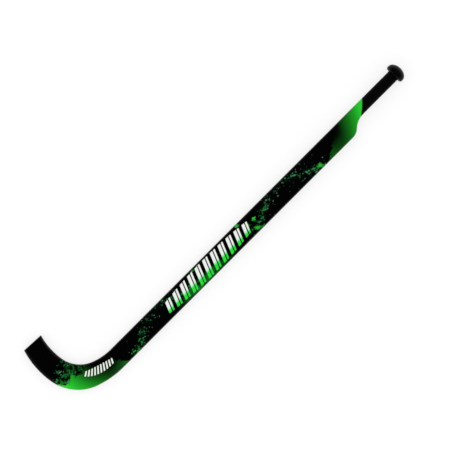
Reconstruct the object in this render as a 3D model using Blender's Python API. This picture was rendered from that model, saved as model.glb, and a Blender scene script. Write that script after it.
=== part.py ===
"""Roller hockey goalie stick: a laminated wooden J with glass-fibre faces, a printed film, a rubber
grip sleeve and a rubber end knob.

The stick is modelled flat in its own frame. +X runs up the handle to the knob, +Y points to the
inside of the hook, where the toe is, and +Z comes out of the front face. X = 0 is where the bend
starts, Y = 0 is the inner edge and Z = 0 is the middle of the thickness. A parent empty then lays
the stick on its back, on the knob and the heel. Lengths are in metres and angles in degrees.
"""

import math

import bmesh
import bpy
from mathutils import Vector

# Straight part: paddle, shoulder and handle, measured along X
PADDLE_LENGTH = 0.6183
PADDLE_WIDTH = 0.0420
SHOULDER_LENGTH = 0.0462
SHOULDER_CREST_RADIUS = 0.0261
HANDLE_LENGTH = 0.0940
HANDLE_WIDTH = 0.0236

# Bend: three arcs of the inner edge, from the paddle to the toe
THROAT_RADIUS = 0.1145
THROAT_TURN = 21.7
HEEL_RADIUS = 0.0600
HEEL_TURN = 59.5
TOE_RADIUS = 0.1398
TOE_TURN = 24.7

# Blade: it swells round the heel, then draws in faster and faster to the squared toe. A power of
# 1 gives the swell an even start and end, and a lower one makes it start sooner.
HEEL_WIDTH = 0.0493
HEEL_WIDEST_TURN = 52.7
HEEL_SWELL_POWER = 0.75
TOE_WIDTH = 0.0436
TOE_TAPER_POWER = 2.0
TOE_CUT_TURN = 92.9

# Section
THICKNESS = 0.0160
EDGE_ROUND = 0.0060
TOE_EDGE_ROUND = 0.0015

# Lamination
PLY_COUNT = 7
SKIN_THICKNESS = 0.0008
FILM_THICKNESS = 0.0003

# Grip sleeve: longer along the outer edge, so its lower end is raked
GRIP_OUTER_LENGTH = 0.1001
GRIP_INNER_LENGTH = 0.0741
GRIP_RAKE_BULGE = 0.0009
GRIP_WALL = 0.0018
GRIP_ROUND = 0.0070
GRIP_LIP_ROUND = 0.0012
TANG_ROUND = 0.0059
TANG_CREST = 0.0010

# End knob, with heights above its seat on the sleeve
KNOB_RADIUS = 0.0195
KNOB_HEIGHT = 0.0194
KNOB_WIDEST_HEIGHT = 0.0056
KNOB_RIM_RADIUS = 0.0193
KNOB_RIM_ROUND = 0.0040
KNOB_RIM_DROP = 0.0004
KNOB_SOCKET_DEPTH = 0.0120

# Clearance that stands for a glue line or a seam
GAP = 0.0003

# Smoothness
THROAT_STEPS = 5
HEEL_STEPS = 16
TOE_STEPS = 5
SHOULDER_STEPS = 6
ROUND_STEPS = 4
KNOB_SIDES = 40
DOME_STEPS = 8

# Sizes that follow from the ones above
KNOB_SEAT_X = PADDLE_LENGTH + SHOULDER_LENGTH + HANDLE_LENGTH
HANDLE_MIDDLE_Y = -HANDLE_WIDTH / 2
HALF_THICKNESS = THICKNESS / 2
BLANK_INSET = FILM_THICKNESS + GAP
BLANK_HALF = HALF_THICKNESS - BLANK_INSET
CORE_HALF = BLANK_HALF - SKIN_THICKNESS - GAP
TANG_END_X = KNOB_SEAT_X + KNOB_SOCKET_DEPTH - GAP
TANG_HALF_WIDTH = HANDLE_WIDTH / 2 - GRIP_WALL - GAP
GRIP_HALF = BLANK_HALF + GAP + GRIP_WALL
OVERSHOOT = PADDLE_WIDTH / 2
BEND_TURN = math.radians(THROAT_TURN + HEEL_TURN + TOE_TURN)


def clear_scene():
    for obj in list(bpy.data.objects):
        bpy.data.objects.remove(obj, do_unlink=True)


def finish(name, colour, roughness):
    """A plain Principled material, one for each piece."""
    material = bpy.data.materials.new(name)
    material.use_nodes = True
    shader = material.node_tree.nodes["Principled BSDF"]
    shader.inputs["Base Color"].default_value = (*colour, 1.0)
    shader.inputs["Roughness"].default_value = roughness
    shader.inputs["Metallic"].default_value = 0.0
    return material


# Outline of the stick, seen from the front


def ease(share):
    """Runs from 0 to 1 with level ends."""
    return (1 - math.cos(math.pi * min(max(share, 0.0), 1.0))) / 2


def blade_width(turn):
    widest = math.radians(HEEL_WIDEST_TURN)
    if turn < widest:
        swell = ease(turn / widest) ** HEEL_SWELL_POWER
        return PADDLE_WIDTH + (HEEL_WIDTH - PADDLE_WIDTH) * swell
    share = (turn - widest) / (BEND_TURN - widest)
    return HEEL_WIDTH + (TOE_WIDTH - HEEL_WIDTH) * share**TOE_TAPER_POWER


def across_turn(turn):
    """The width is measured square to the edge up to the heel, then leans to the toe's cut."""
    widest = math.radians(HEEL_WIDEST_TURN)
    if turn < widest:
        return turn
    share = (turn - widest) / (BEND_TURN - widest)
    return widest + share * (math.radians(TOE_CUT_TURN) - widest)


def bend_stations(toe_inset):
    """Points of the inner edge round the bend, each with the way across the blade and the width.

    toe_inset shortens the last arc, or lengthens it where it is negative.
    """
    arcs = (
        (THROAT_RADIUS, math.radians(THROAT_TURN), THROAT_STEPS),
        (HEEL_RADIUS, math.radians(HEEL_TURN), HEEL_STEPS),
        (TOE_RADIUS, math.radians(TOE_TURN) - toe_inset / TOE_RADIUS, TOE_STEPS),
    )
    edge = Vector((0.0, 0.0))
    turn = 0.0
    stations = [(edge, Vector((0.0, -1.0)), PADDLE_WIDTH)]
    for radius, angle, steps in arcs:
        centre = edge + radius * Vector((math.sin(turn), math.cos(turn)))
        for step in range(1, steps + 1):
            here = turn + angle * step / steps
            edge = centre - radius * Vector((math.sin(here), math.cos(here)))
            lean = across_turn(here)
            across = Vector((-math.sin(lean), -math.cos(lean)))
            stations.append((edge, across, blade_width(here)))
        turn += angle
    return stations


def shoulder_curve(inset):
    """The outer edge from the paddle to the handle: a rounded crest that runs into a hollow."""
    drop = PADDLE_WIDTH - HANDLE_WIDTH
    slope = 2 * math.atan2(drop, SHOULDER_LENGTH)
    hollow_radius = SHOULDER_LENGTH / math.sin(slope) - SHOULDER_CREST_RADIUS
    crest = Vector((PADDLE_LENGTH, SHOULDER_CREST_RADIUS - PADDLE_WIDTH))
    hollow = Vector((PADDLE_LENGTH + SHOULDER_LENGTH, -HANDLE_WIDTH - hollow_radius))
    points = []
    for step in range(SHOULDER_STEPS + 1):
        angle = slope * step / SHOULDER_STEPS
        reach = SHOULDER_CREST_RADIUS - inset
        points.append(crest + reach * Vector((math.sin(angle), -math.cos(angle))))
    for step in range(1, SHOULDER_STEPS + 1):
        angle = slope * (1 - step / SHOULDER_STEPS)
        reach = hollow_radius + inset
        points.append(hollow + reach * Vector((-math.sin(angle), math.cos(angle))))
    return points


def outline(inset, toe_inset, butt_x):
    """The closed outline of the stick, drawn in from its edges by inset, anticlockwise."""
    stations = bend_stations(toe_inset)
    points = [Vector((butt_x, -inset))]
    points += [edge + across * inset for edge, across, _ in stations]
    points += [edge + across * (width - inset) for edge, across, width in reversed(stations)]
    points += shoulder_curve(inset)
    points.append(Vector((butt_x, inset - HANDLE_WIDTH)))
    return points


# Solids


def add_object(name, mesh, material=None):
    obj = bpy.data.objects.new(name, mesh)
    bpy.context.scene.collection.objects.link(obj)
    if material:
        mesh.materials.append(material)
        mesh.shade_smooth()
        mesh.set_sharp_from_angle(angle=math.radians(35))
    else:
        obj.hide_render = True
        obj.display_type = "WIRE"
    return obj


def loft(name, rings, material=None):
    """A closed body through rings of points, one ring after the other, capped at both ends."""
    mesh = bpy.data.meshes.new(name)
    body = bmesh.new()
    loops = [[body.verts.new(point) for point in ring] for ring in rings]
    count = len(loops[0])
    for lower, upper in zip(loops, loops[1:]):
        for i in range(count):
            j = (i + 1) % count
            body.faces.new((lower[i], lower[j], upper[j], upper[i]))
    body.faces.new(reversed(loops[0]))
    body.faces.new(loops[-1])
    body.to_mesh(mesh)
    body.free()
    return add_object(name, mesh, material)


def flat_ring(points, z):
    return [(point.x, point.y, z) for point in points]


def rounded_levels(inset, half, edge_round):
    """Heights from the middle of the edge to the face, with how far each is drawn in there."""
    reach = edge_round - inset
    levels = []
    for step in range(ROUND_STEPS + 1):
        angle = math.radians(90) * step / ROUND_STEPS
        levels.append((half - reach + reach * math.sin(angle), 1 - math.cos(angle)))
    return levels


def rounded_half(inset, half, edge_round, butt_x):
    """Rings from the middle of the edge up to the front face, rounded over at the edge."""
    toe_round = max(TOE_EDGE_ROUND - inset, 0.0)
    rings = []
    for z, drawn_in in rounded_levels(inset, half, edge_round):
        shape = outline(
            inset + drawn_in * (edge_round - inset), inset + drawn_in * toe_round, butt_x
        )
        rings.append(flat_ring(shape, z))
    return rings


def turned_over(rings):
    """The same rings for the back face, in the order that keeps the body's faces pointing out."""
    return [[(x, y, -z) for x, y, z in ring] for ring in reversed(rings)]


def boolean(obj, operation, other):
    modifier = obj.modifiers.new(f"{operation.lower()}_{other.name}", "BOOLEAN")
    modifier.operation = operation
    modifier.solver = "EXACT"
    modifier.object = other


def rake_line(offset):
    """The arc along which the film ends and the sleeve starts, moved up the handle by offset."""
    inner = Vector((KNOB_SEAT_X - GRIP_INNER_LENGTH, 0.0))
    outer = Vector((KNOB_SEAT_X - GRIP_OUTER_LENGTH, -HANDLE_WIDTH))
    chord = inner - outer
    radius = chord.length**2 / (8 * GRIP_RAKE_BULGE) + GRIP_RAKE_BULGE / 2
    up_handle = Vector((chord.y, -chord.x)).normalized()
    centre = (inner + outer) / 2 - (radius - GRIP_RAKE_BULGE) * up_handle
    middle = math.atan2(up_handle.y, up_handle.x)
    half_angle = 1.6 * math.asin(chord.length / 2 / radius)
    points = []
    for step in range(2 * ROUND_STEPS + 1):
        angle = middle + half_angle * (step / ROUND_STEPS - 1)
        points.append(centre + (radius + offset) * Vector((math.cos(angle), math.sin(angle))))
    return points


def rake_block(name, levels):
    """A block over all of the stick below the rake. levels gives its heights, each with the
    offset of the rake there."""
    far_x = -2 * (HEEL_RADIUS + HEEL_WIDTH)
    high_y = 2 * (HEEL_RADIUS + TOE_RADIUS)
    rings = []
    for z, offset in levels:
        line = rake_line(offset)
        corners = [
            Vector((line[-1].x, high_y)),
            Vector((far_x, high_y)),
            Vector((far_x, -2 * PADDLE_WIDTH)),
            Vector((line[0].x, -2 * PADDLE_WIDTH)),
        ]
        rings.append(flat_ring(line + corners, z))
    return loft(name, rings)


def tang_bar(name, start_x, end_x, grow, clipped):
    """A bar with the section of the tang, enlarged by grow. The tang's long corners are rounded
    to TANG_CREST above its faces, and clipped cuts the bar off level with those faces."""
    radius = TANG_ROUND + grow
    centre_y = TANG_HALF_WIDTH - TANG_ROUND
    centre_z = BLANK_HALF + TANG_CREST - TANG_ROUND
    last = math.radians(90)
    if clipped:
        last = math.asin((BLANK_HALF + grow - centre_z) / radius)
    corner = []
    for step in range(ROUND_STEPS + 1):
        angle = last * step / ROUND_STEPS
        corner.append((centre_y + radius * math.cos(angle), centre_z + radius * math.sin(angle)))
    section = list(corner)
    section += [(-y, z) for y, z in reversed(corner)]
    section += [(-y, -z) for y, z in corner]
    section += [(y, -z) for y, z in reversed(corner)]
    rings = []
    for x in (start_x, end_x):
        rings.append([(x, HANDLE_MIDDLE_Y + y, z) for y, z in section])
    return loft(name, rings)


# Pieces


def make_blank():
    """The glued-up stick before the film: rounded edges, and a tang milled for the grip sleeve."""
    half = rounded_half(BLANK_INSET, BLANK_HALF, EDGE_ROUND, TANG_END_X)
    blank = loft("laminated_blank", turned_over(half) + half)
    below_rake = rake_block("blank_below_rake", ((-2 * THICKNESS, 0.0), (2 * THICKNESS, 0.0)))
    tang_start = KNOB_SEAT_X - GRIP_OUTER_LENGTH - OVERSHOOT
    tang = tang_bar("milled_tang", tang_start, TANG_END_X + OVERSHOOT, 0.0, False)
    boolean(below_rake, "UNION", tang)
    boolean(blank, "INTERSECT", below_rake)
    return blank


def ply_strip(number):
    """The outline of one ply: an equal share of the width, less half a glue line on each side.
    The outermost plies run on past the edges, which the rounded blank then trims."""
    stations = bend_stations(-OVERSHOOT)
    low_share = number / PLY_COUNT
    high_share = (number + 1) / PLY_COUNT
    glue = GAP / 2

    def low(width):
        return -OVERSHOOT if number == 0 else width * low_share + glue

    def high(width):
        return width + OVERSHOOT if number == PLY_COUNT - 1 else width * high_share - glue

    end_x = TANG_END_X + OVERSHOOT
    points = [Vector((end_x, -low(PADDLE_WIDTH)))]
    points += [edge + across * low(width) for edge, across, width in stations]
    points += [edge + across * high(width) for edge, across, width in reversed(stations)]
    points.append(Vector((end_x, -high(PADDLE_WIDTH))))
    return points


def make_plies(blank):
    plies = []
    for number in range(PLY_COUNT):
        shade = 0.06 * (number % 2)
        wood = finish(f"ply_wood_{number + 1}", (0.56 - shade, 0.38 - shade, 0.21 - shade), 0.6)
        strip = ply_strip(number)
        rings = [flat_ring(strip, -CORE_HALF), flat_ring(strip, CORE_HALF)]
        ply = loft(f"core_ply_{number + 1}", rings, wood)
        boolean(ply, "INTERSECT", blank)
        plies.append(ply)
    return plies


def make_glass_skins(blank):
    """A flat sheet of glass fibre on each face, trimmed with the wood to the rounded outline."""
    sheet = outline(-OVERSHOOT / 2, -OVERSHOOT, TANG_END_X + OVERSHOOT)
    rings = [
        flat_ring(sheet, BLANK_HALF - SKIN_THICKNESS),
        flat_ring(sheet, BLANK_HALF + SKIN_THICKNESS),
    ]
    skins = []
    for side, sheet_rings in (("front", rings), ("back", turned_over(rings))):
        glass = finish(f"{side}_glass_fibre", (0.42, 0.45, 0.36), 0.35)
        skin = loft(f"{side}_glass_skin", sheet_rings, glass)
        boolean(skin, "INTERSECT", blank)
        skins.append(skin)
    return skins


def film_rings():
    """The front film as a dish: down its inside to the seam, and up its outside to the face."""
    butt_x = KNOB_SEAT_X
    outside = rounded_half(0.0, HALF_THICKNESS, EDGE_ROUND, butt_x)
    inside = rounded_half(
        FILM_THICKNESS, HALF_THICKNESS - FILM_THICKNESS, EDGE_ROUND, butt_x
    )
    seam = GAP / 2
    seam_inside = flat_ring(outline(FILM_THICKNESS, FILM_THICKNESS, butt_x), seam)
    seam_outside = flat_ring(outline(0.0, 0.0, butt_x), seam)
    return list(reversed(inside)) + [seam_inside, seam_outside] + outside


def make_films():
    """The printed film of each face, wrapped round the edges to a seam along their middle."""
    rings = film_rings()
    below_rake = rake_block("film_below_rake", ((-2 * THICKNESS, 0.0), (2 * THICKNESS, 0.0)))
    films = []
    for side, side_rings in (("front", rings), ("back", turned_over(rings))):
        ink = finish(f"{side}_printed_film", (0.006, 0.007, 0.006), 0.38)
        film = loft(f"{side}_print_film", side_rings, ink)
        boolean(film, "INTERSECT", below_rake)
        films.append(film)
    return films


def make_grip_sleeve():
    """The rubber sleeve: flush with the film along the edges and proud of it on both faces, with
    a rounded lip along the raked lower end."""
    half = rounded_half(0.0, GRIP_HALF, GRIP_ROUND, KNOB_SEAT_X - GAP)
    rubber = finish("grip_rubber", (0.010, 0.010, 0.011), 0.65)
    sleeve = loft("grip_sleeve", turned_over(half) + half, rubber)
    levels = [(GRIP_HALF - GRIP_LIP_ROUND, GAP)]
    for step in range(1, ROUND_STEPS + 1):
        angle = math.radians(90) * step / ROUND_STEPS
        z = GRIP_HALF - GRIP_LIP_ROUND * (1 - math.sin(angle))
        levels.append((z, GAP + GRIP_LIP_ROUND * (1 - math.cos(angle))))
    levels.append((GRIP_HALF + OVERSHOOT, GAP + GRIP_LIP_ROUND))
    mirrored = [(-z, offset) for z, offset in reversed(levels)]
    boolean(sleeve, "DIFFERENCE", rake_block("sleeve_rake_cut", mirrored + levels))
    start = KNOB_SEAT_X - GRIP_OUTER_LENGTH - OVERSHOOT
    bore = tang_bar("sleeve_bore", start, KNOB_SEAT_X + OVERSHOOT, GAP, True)
    boolean(sleeve, "DIFFERENCE", bore)
    return sleeve


def knob_profile():
    """Half of the knob's section, from the middle of the crown down and round to the seat."""
    dome_height = KNOB_HEIGHT - KNOB_WIDEST_HEIGHT
    points = []
    for step in range(DOME_STEPS + 1):
        angle = math.radians(90) * step / DOME_STEPS
        radius = KNOB_RADIUS * math.sin(angle)
        points.append((radius, KNOB_WIDEST_HEIGHT + dome_height * math.cos(angle)))
    round_radius = KNOB_RIM_RADIUS - KNOB_RIM_ROUND
    round_height = KNOB_RIM_ROUND - KNOB_RIM_DROP
    for step in range(ROUND_STEPS + 1):
        angle = math.radians(90) * step / ROUND_STEPS
        points.append(
            (
                round_radius + KNOB_RIM_ROUND * math.cos(angle),
                round_height - KNOB_RIM_ROUND * math.sin(angle),
            )
        )
    corner_y = HANDLE_WIDTH / 2 - GRIP_ROUND
    corner_z = GRIP_HALF - GRIP_ROUND
    seat_radius = math.hypot(corner_y, corner_z) + GRIP_ROUND + GAP
    points.append((seat_radius, 0.0))
    points.append((0.0, 0.0))
    return points


def make_knob():
    """The mushroom knob, turned about its own axis and seated on the end of the sleeve."""
    mesh = bpy.data.meshes.new("end_knob")
    profile = bmesh.new()
    points = [profile.verts.new((radius, 0.0, height)) for radius, height in knob_profile()]
    for upper, lower in zip(points, points[1:]):
        profile.edges.new((upper, lower))
    profile.to_mesh(mesh)
    profile.free()
    knob = add_object("end_knob", mesh, finish("knob_rubber", (0.008, 0.008, 0.009), 0.5))
    turn = knob.modifiers.new("turned", "SCREW")
    turn.axis = "Z"
    turn.angle = math.radians(360)
    turn.steps = KNOB_SIDES
    turn.render_steps = KNOB_SIDES
    turn.use_merge_vertices = True
    turn.merge_threshold = 0.00001
    turn.use_smooth_shade = True
    knob.rotation_euler = (0.0, math.radians(90), 0.0)
    knob.location = (KNOB_SEAT_X, HANDLE_MIDDLE_Y, 0.0)
    start = KNOB_SEAT_X - OVERSHOOT
    socket = tang_bar("knob_socket", start, KNOB_SEAT_X + KNOB_SOCKET_DEPTH, GAP, True)
    boolean(knob, "DIFFERENCE", socket)
    return knob


# Lying on its back


def lay_down(pieces):
    """Parents the pieces to an empty that tips the stick onto its knob and the back of its heel,
    with the middle of its base at the world's origin."""
    stick = bpy.data.objects.new("stick_on_its_back", None)
    bpy.context.scene.collection.objects.link(stick)
    for obj in list(bpy.data.objects):
        if obj is not stick:
            obj.parent = stick
    back_face = outline(EDGE_ROUND, TOE_EDGE_ROUND, KNOB_SEAT_X)
    heel_x = min(point.x for point in back_face)
    knob_x = KNOB_SEAT_X + KNOB_WIDEST_HEIGHT
    tip = math.atan2(KNOB_RADIUS - HALF_THICKNESS, knob_x - heel_x)
    stick.rotation_euler = (0.0, -tip, 0.0)
    bpy.context.view_layer.update()
    graph = bpy.context.evaluated_depsgraph_get()
    corners = []
    for piece in pieces:
        evaluated = piece.evaluated_get(graph)
        mesh = evaluated.to_mesh()
        corners += [evaluated.matrix_world @ vertex.co for vertex in mesh.vertices]
        evaluated.to_mesh_clear()
    low = [min(corner[axis] for corner in corners) for axis in range(3)]
    high = [max(corner[axis] for corner in corners) for axis in range(3)]
    stick.location = (-(low[0] + high[0]) / 2, -(low[1] + high[1]) / 2, -low[2])
    bpy.context.view_layer.update()


def main():
    clear_scene()
    blank = make_blank()
    pieces = make_plies(blank)
    pieces += make_glass_skins(blank)
    pieces += make_films()
    pieces.append(make_grip_sleeve())
    pieces.append(make_knob())
    lay_down(pieces)


main()
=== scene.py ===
"""Looks of the roller hockey goalie stick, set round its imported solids.

Each section dresses one piece, in the order in which such a stick is put together. A piece that is
modelled here uses the stick's own axes, as the solids do: X runs up the handle from the start of
the bend, Y = 0 is the inner edge with the toe on the +Y side, and Z = 0 is the middle of the
thickness, with the front face on the +Z side. Lengths are in metres unless a name says mm.
"""

import math

import bmesh
import bpy
from mathutils import Matrix, Vector


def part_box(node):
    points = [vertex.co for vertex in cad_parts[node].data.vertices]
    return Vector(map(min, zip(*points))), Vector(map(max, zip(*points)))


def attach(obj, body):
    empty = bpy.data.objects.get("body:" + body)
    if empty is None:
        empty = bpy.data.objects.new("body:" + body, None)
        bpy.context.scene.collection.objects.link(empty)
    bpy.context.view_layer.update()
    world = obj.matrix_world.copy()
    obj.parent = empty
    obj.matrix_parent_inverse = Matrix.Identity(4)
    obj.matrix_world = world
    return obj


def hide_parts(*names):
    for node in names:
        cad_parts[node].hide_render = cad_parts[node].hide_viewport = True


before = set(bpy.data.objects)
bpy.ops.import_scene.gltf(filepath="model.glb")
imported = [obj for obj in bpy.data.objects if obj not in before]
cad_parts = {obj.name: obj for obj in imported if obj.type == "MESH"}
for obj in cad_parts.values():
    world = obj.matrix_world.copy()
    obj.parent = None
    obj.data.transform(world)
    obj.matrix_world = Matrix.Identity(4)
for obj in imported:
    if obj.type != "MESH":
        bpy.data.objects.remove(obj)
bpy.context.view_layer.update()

# Core plies: seven strips of ash and beech, steamed round the bend and glued side by side, with
# every other one a shade darker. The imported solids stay.

STICK_TIP = math.radians(0.7444)
HANDLE_WIDTH = 0.0236
KNOB_SEAT_X = 0.7585
KNOB_HEIGHT = 0.0194
KNOB_WIDEST_HEIGHT = 0.0056

knob_low, knob_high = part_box("end_knob")
knob_ring = (knob_low + knob_high) / 2
knob_ring.x = knob_high.x - (KNOB_HEIGHT - KNOB_WIDEST_HEIGHT)
knob_ring_in_stick = Vector((KNOB_SEAT_X + KNOB_WIDEST_HEIGHT, -HANDLE_WIDTH / 2, 0.0))
lying = (
    Matrix.Translation(knob_ring)
    @ Matrix.Rotation(-STICK_TIP, 4, "Y")
    @ Matrix.Translation(-knob_ring_in_stick)
)


def linear(colour):
    """An sRGB hex colour as linear red, green, blue and alpha."""
    parts = []
    for start in (1, 3, 5):
        part = int(colour[start : start + 2], 16) / 255
        parts.append(part / 12.92 if part <= 0.04045 else ((part + 0.055) / 1.055) ** 2.4)
    return (*parts, 1.0)


def set_inputs(tree, node, inputs):
    """Gives each named socket a value, or links it to an output or to a node's output in use."""
    for name, value in inputs.items():
        if isinstance(name, int):
            socket = node.inputs[name]
        else:
            socket = next(one for one in node.inputs if one.name == name and one.enabled)
        if isinstance(value, bpy.types.Node):
            value = next(output for output in value.outputs if output.enabled)
        if isinstance(value, bpy.types.NodeSocket):
            tree.links.new(value, socket)
        else:
            socket.default_value = value


def add_node(tree, kind, inputs, stops=(), **settings):
    """Adds a node with its settings and links. stops are a colour ramp's shares and colours."""
    node = tree.nodes.new(f"ShaderNode{kind}")
    for name, value in settings.items():
        setattr(node, name, value)
    for number, (share, colour) in enumerate(stops):
        marks = node.color_ramp.elements
        mark = marks[number] if number < 2 else marks.new(share)
        mark.position = share
        mark.color = linear(colour)
    set_inputs(tree, node, inputs)
    return node


def start_material(name):
    material = bpy.data.materials.new(name)
    material.use_nodes = True
    return material, material.node_tree, material.node_tree.nodes["Principled BSDF"]


def add_stick_place(tree):
    """The shaded point along the stick's own axes, in millimetres."""
    to_stick = {
        "Vector": add_node(tree, "TexCoord", {}).outputs["Object"],
        "Location": lying.to_translation(),
        "Rotation": lying.to_euler(),
    }
    own = add_node(tree, "Mapping", to_stick, vector_type="TEXTURE")
    return add_node(tree, "VectorMath", {0: own, "Scale": 1000.0}, operation="SCALE")


# Planed wood is dull. Its long fibres, with bands of darker late wood between them, run up the
# handle and turn with the bend. They are drawn three times as wide as real ones, which would be
# too fine to see.

THROAT_RADIUS = 0.1145
THROAT_TURN = 21.7
HEEL_RADIUS = 0.0600

PLY_COUNT = 7
FIBRE_MM = Vector((70.0, 0.9, 0.9))
BAND_MM = Vector((400.0, 3.2, 9.0))
FIBRE_SHARE = 0.45
WOOD_TONE = {"From Min": 0.55, "From Max": 0.92}
PORE_DEPTH = 0.00012

throat_turn = math.radians(THROAT_TURN)
heel_centre = Vector((0.0, THROAT_RADIUS, 0.0)) + (HEEL_RADIUS - THROAT_RADIUS) * Vector(
    (math.sin(throat_turn), math.cos(throat_turn), 0.0)
)


def make_bent_wood(name, early_wood, late_wood):
    """Wood whose fibres follow the handle and then turn about the heel's centre."""
    material, tree, shader = start_material(name)
    place = add_stick_place(tree)
    from_centre = add_node(
        tree, "VectorMath", {0: place, 1: heel_centre * 1000}, operation="SUBTRACT"
    )
    axes = add_node(tree, "SeparateXYZ", {0: from_centre})
    bent = add_node(tree, "Math", {0: axes, 1: 0.0}, operation="MINIMUM")
    straight = add_node(tree, "Math", {0: axes, 1: 0.0}, operation="MAXIMUM")
    below = add_node(tree, "Math", {0: axes.outputs[1], 1: -1.0}, operation="MULTIPLY")
    arm = add_node(tree, "CombineXYZ", {0: bent, 1: below})
    across = add_node(tree, "VectorMath", {0: arm}, operation="LENGTH")
    turn = add_node(tree, "Math", {0: bent, 1: below}, operation="ARCTAN2")
    along = add_node(
        tree, "Math", {0: turn, 1: HEEL_RADIUS * 1000, 2: straight}, operation="MULTIPLY_ADD"
    )
    fibre_place = add_node(tree, "CombineXYZ", {0: along, 1: across, 2: axes.outputs[2]})
    fibres = add_node(tree, "VectorMath", {0: fibre_place, 1: FIBRE_MM}, operation="DIVIDE")
    bands = add_node(tree, "VectorMath", {0: fibre_place, 1: BAND_MM}, operation="DIVIDE")
    grain = add_node(tree, "TexNoise", {"Vector": fibres, "Scale": 1.0, "Detail": 5.0})
    late = add_node(tree, "TexNoise", {"Vector": bands, "Scale": 1.0, "Detail": 2.0})
    both = add_node(tree, "Math", {0: grain, 1: FIBRE_SHARE, 2: late}, operation="MULTIPLY_ADD")
    tone = add_node(tree, "MapRange", {"Value": both, **WOOD_TONE})
    colour = {"Factor": tone, "A": linear(early_wood), "B": linear(late_wood)}
    colour = add_node(tree, "Mix", colour, data_type="RGBA")
    pores = add_node(tree, "Bump", {"Height": grain, "Distance": PORE_DEPTH, "Strength": 0.6})
    set_inputs(tree, shader, {"Base Color": colour, "Roughness": 0.62, "Normal": pores})
    return material


ply_woods = (
    make_bent_wood("planed_ash", "#E3CBA3", "#B98F5E"),
    make_bent_wood("planed_beech", "#CFA477", "#9A6A43"),
)
for number in range(PLY_COUNT):
    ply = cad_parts[f"core_ply_{number + 1}"]
    ply.data.materials.clear()
    ply.data.materials.append(ply_woods[number % 2])

# Glass skins: a flat sheet of woven glass cloth, set in clear resin, on each face of the wood. The
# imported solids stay. The plain weave shows as a small grey-green check under glossy resin, drawn
# with threads twice as wide as the real ones of about 1.2 mm, which would be too fine to see.

GLASS_THREAD_MM = 2.4
GLASS_THREAD_HEIGHT = 0.00008
GLASS_CHECK = {"From Min": -0.4, "From Max": 0.4}


def add_weave(tree, place, thread_mm):
    """Height of a plain weave: over and under hills, one for each crossing of two threads."""
    turns = add_node(
        tree, "VectorMath", {0: place, "Scale": math.pi / thread_mm}, operation="SCALE"
    )
    hills = add_node(tree, "VectorMath", {0: turns}, operation="SINE")
    axes = add_node(tree, "SeparateXYZ", {0: hills})
    return add_node(tree, "Math", {0: axes, 1: axes.outputs[1]}, operation="MULTIPLY")


glass_cloth, tree, shader = start_material("woven_glass_in_resin")
weave = add_weave(tree, add_stick_place(tree), GLASS_THREAD_MM)
check = add_node(tree, "MapRange", {"Value": weave, **GLASS_CHECK})
glass_colour = {"Factor": check, "A": linear("#8E9A82"), "B": linear("#B4BDA6")}
glass_colour = add_node(tree, "Mix", glass_colour, data_type="RGBA")
threads = {"Height": weave, "Distance": GLASS_THREAD_HEIGHT, "Strength": 0.5}
threads = add_node(tree, "Bump", threads)
set_inputs(
    tree, shader, {"Base Color": glass_colour, "Roughness": 0.28, "IOR": 1.54, "Normal": threads}
)
for side in ("front", "back"):
    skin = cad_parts[f"{side}_glass_skin"]
    skin.data.materials.clear()
    skin.data.materials.append(glass_cloth)

# Printed films: one for each face, printed black with green, laid over the glass skin, wrapped
# round the rounded edges to a seam along their middle, and lacquered. Each stands for its packed
# solid as a finer mesh.

PADDLE_LENGTH = 0.6183
PADDLE_WIDTH = 0.0420
SHOULDER_LENGTH = 0.0462
SHOULDER_CREST_RADIUS = 0.0261
HEEL_TURN = 59.5
TOE_RADIUS = 0.1398
TOE_TURN = 24.7
HEEL_WIDTH = 0.0493
HEEL_WIDEST_TURN = 52.7
HEEL_SWELL_POWER = 0.75
TOE_WIDTH = 0.0436
TOE_TAPER_POWER = 2.0
TOE_CUT_TURN = 92.9
HALF_THICKNESS = 0.0080
EDGE_ROUND = 0.0060
TOE_EDGE_ROUND = 0.0015
FILM_THICKNESS = 0.0003
SEAM = 0.00004

GRIP_OUTER_LENGTH = 0.1001
GRIP_INNER_LENGTH = 0.0741
GRIP_RAKE_BULGE = 0.0009
FAN_LENGTH = 0.0360

THROAT_STEPS = 12
HEEL_STEPS = 40
TOE_STEPS = 18
PADDLE_STEPS = 72
SHOULDER_STEPS = 16
FAN_STEPS = 10
EDGE_STEPS = 8
FACE_STEPS = 8
QUARTER_TURN = math.radians(90)
SHARP_ANGLE = math.radians(35)

rake_inner_x = KNOB_SEAT_X - GRIP_INNER_LENGTH
rake_outer_x = KNOB_SEAT_X - GRIP_OUTER_LENGTH
bend_turn = math.radians(THROAT_TURN + HEEL_TURN + TOE_TURN)
widest_turn = math.radians(HEEL_WIDEST_TURN)


def ease(share):
    """Runs from 0 to 1 with level ends."""
    return (1 - math.cos(math.pi * share)) / 2


def blade_width(turn):
    if turn < widest_turn:
        swell = ease(turn / widest_turn) ** HEEL_SWELL_POWER
        return PADDLE_WIDTH + (HEEL_WIDTH - PADDLE_WIDTH) * swell
    share = (turn - widest_turn) / (bend_turn - widest_turn)
    return HEEL_WIDTH + (TOE_WIDTH - HEEL_WIDTH) * share**TOE_TAPER_POWER


def way_across(turn):
    """Square to the edge up to the heel, then leaning to the toe's cut."""
    lean = turn
    if turn > widest_turn:
        share = (turn - widest_turn) / (bend_turn - widest_turn)
        lean = widest_turn + share * (math.radians(TOE_CUT_TURN) - widest_turn)
    return Vector((-math.sin(lean), -math.cos(lean)))


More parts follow.
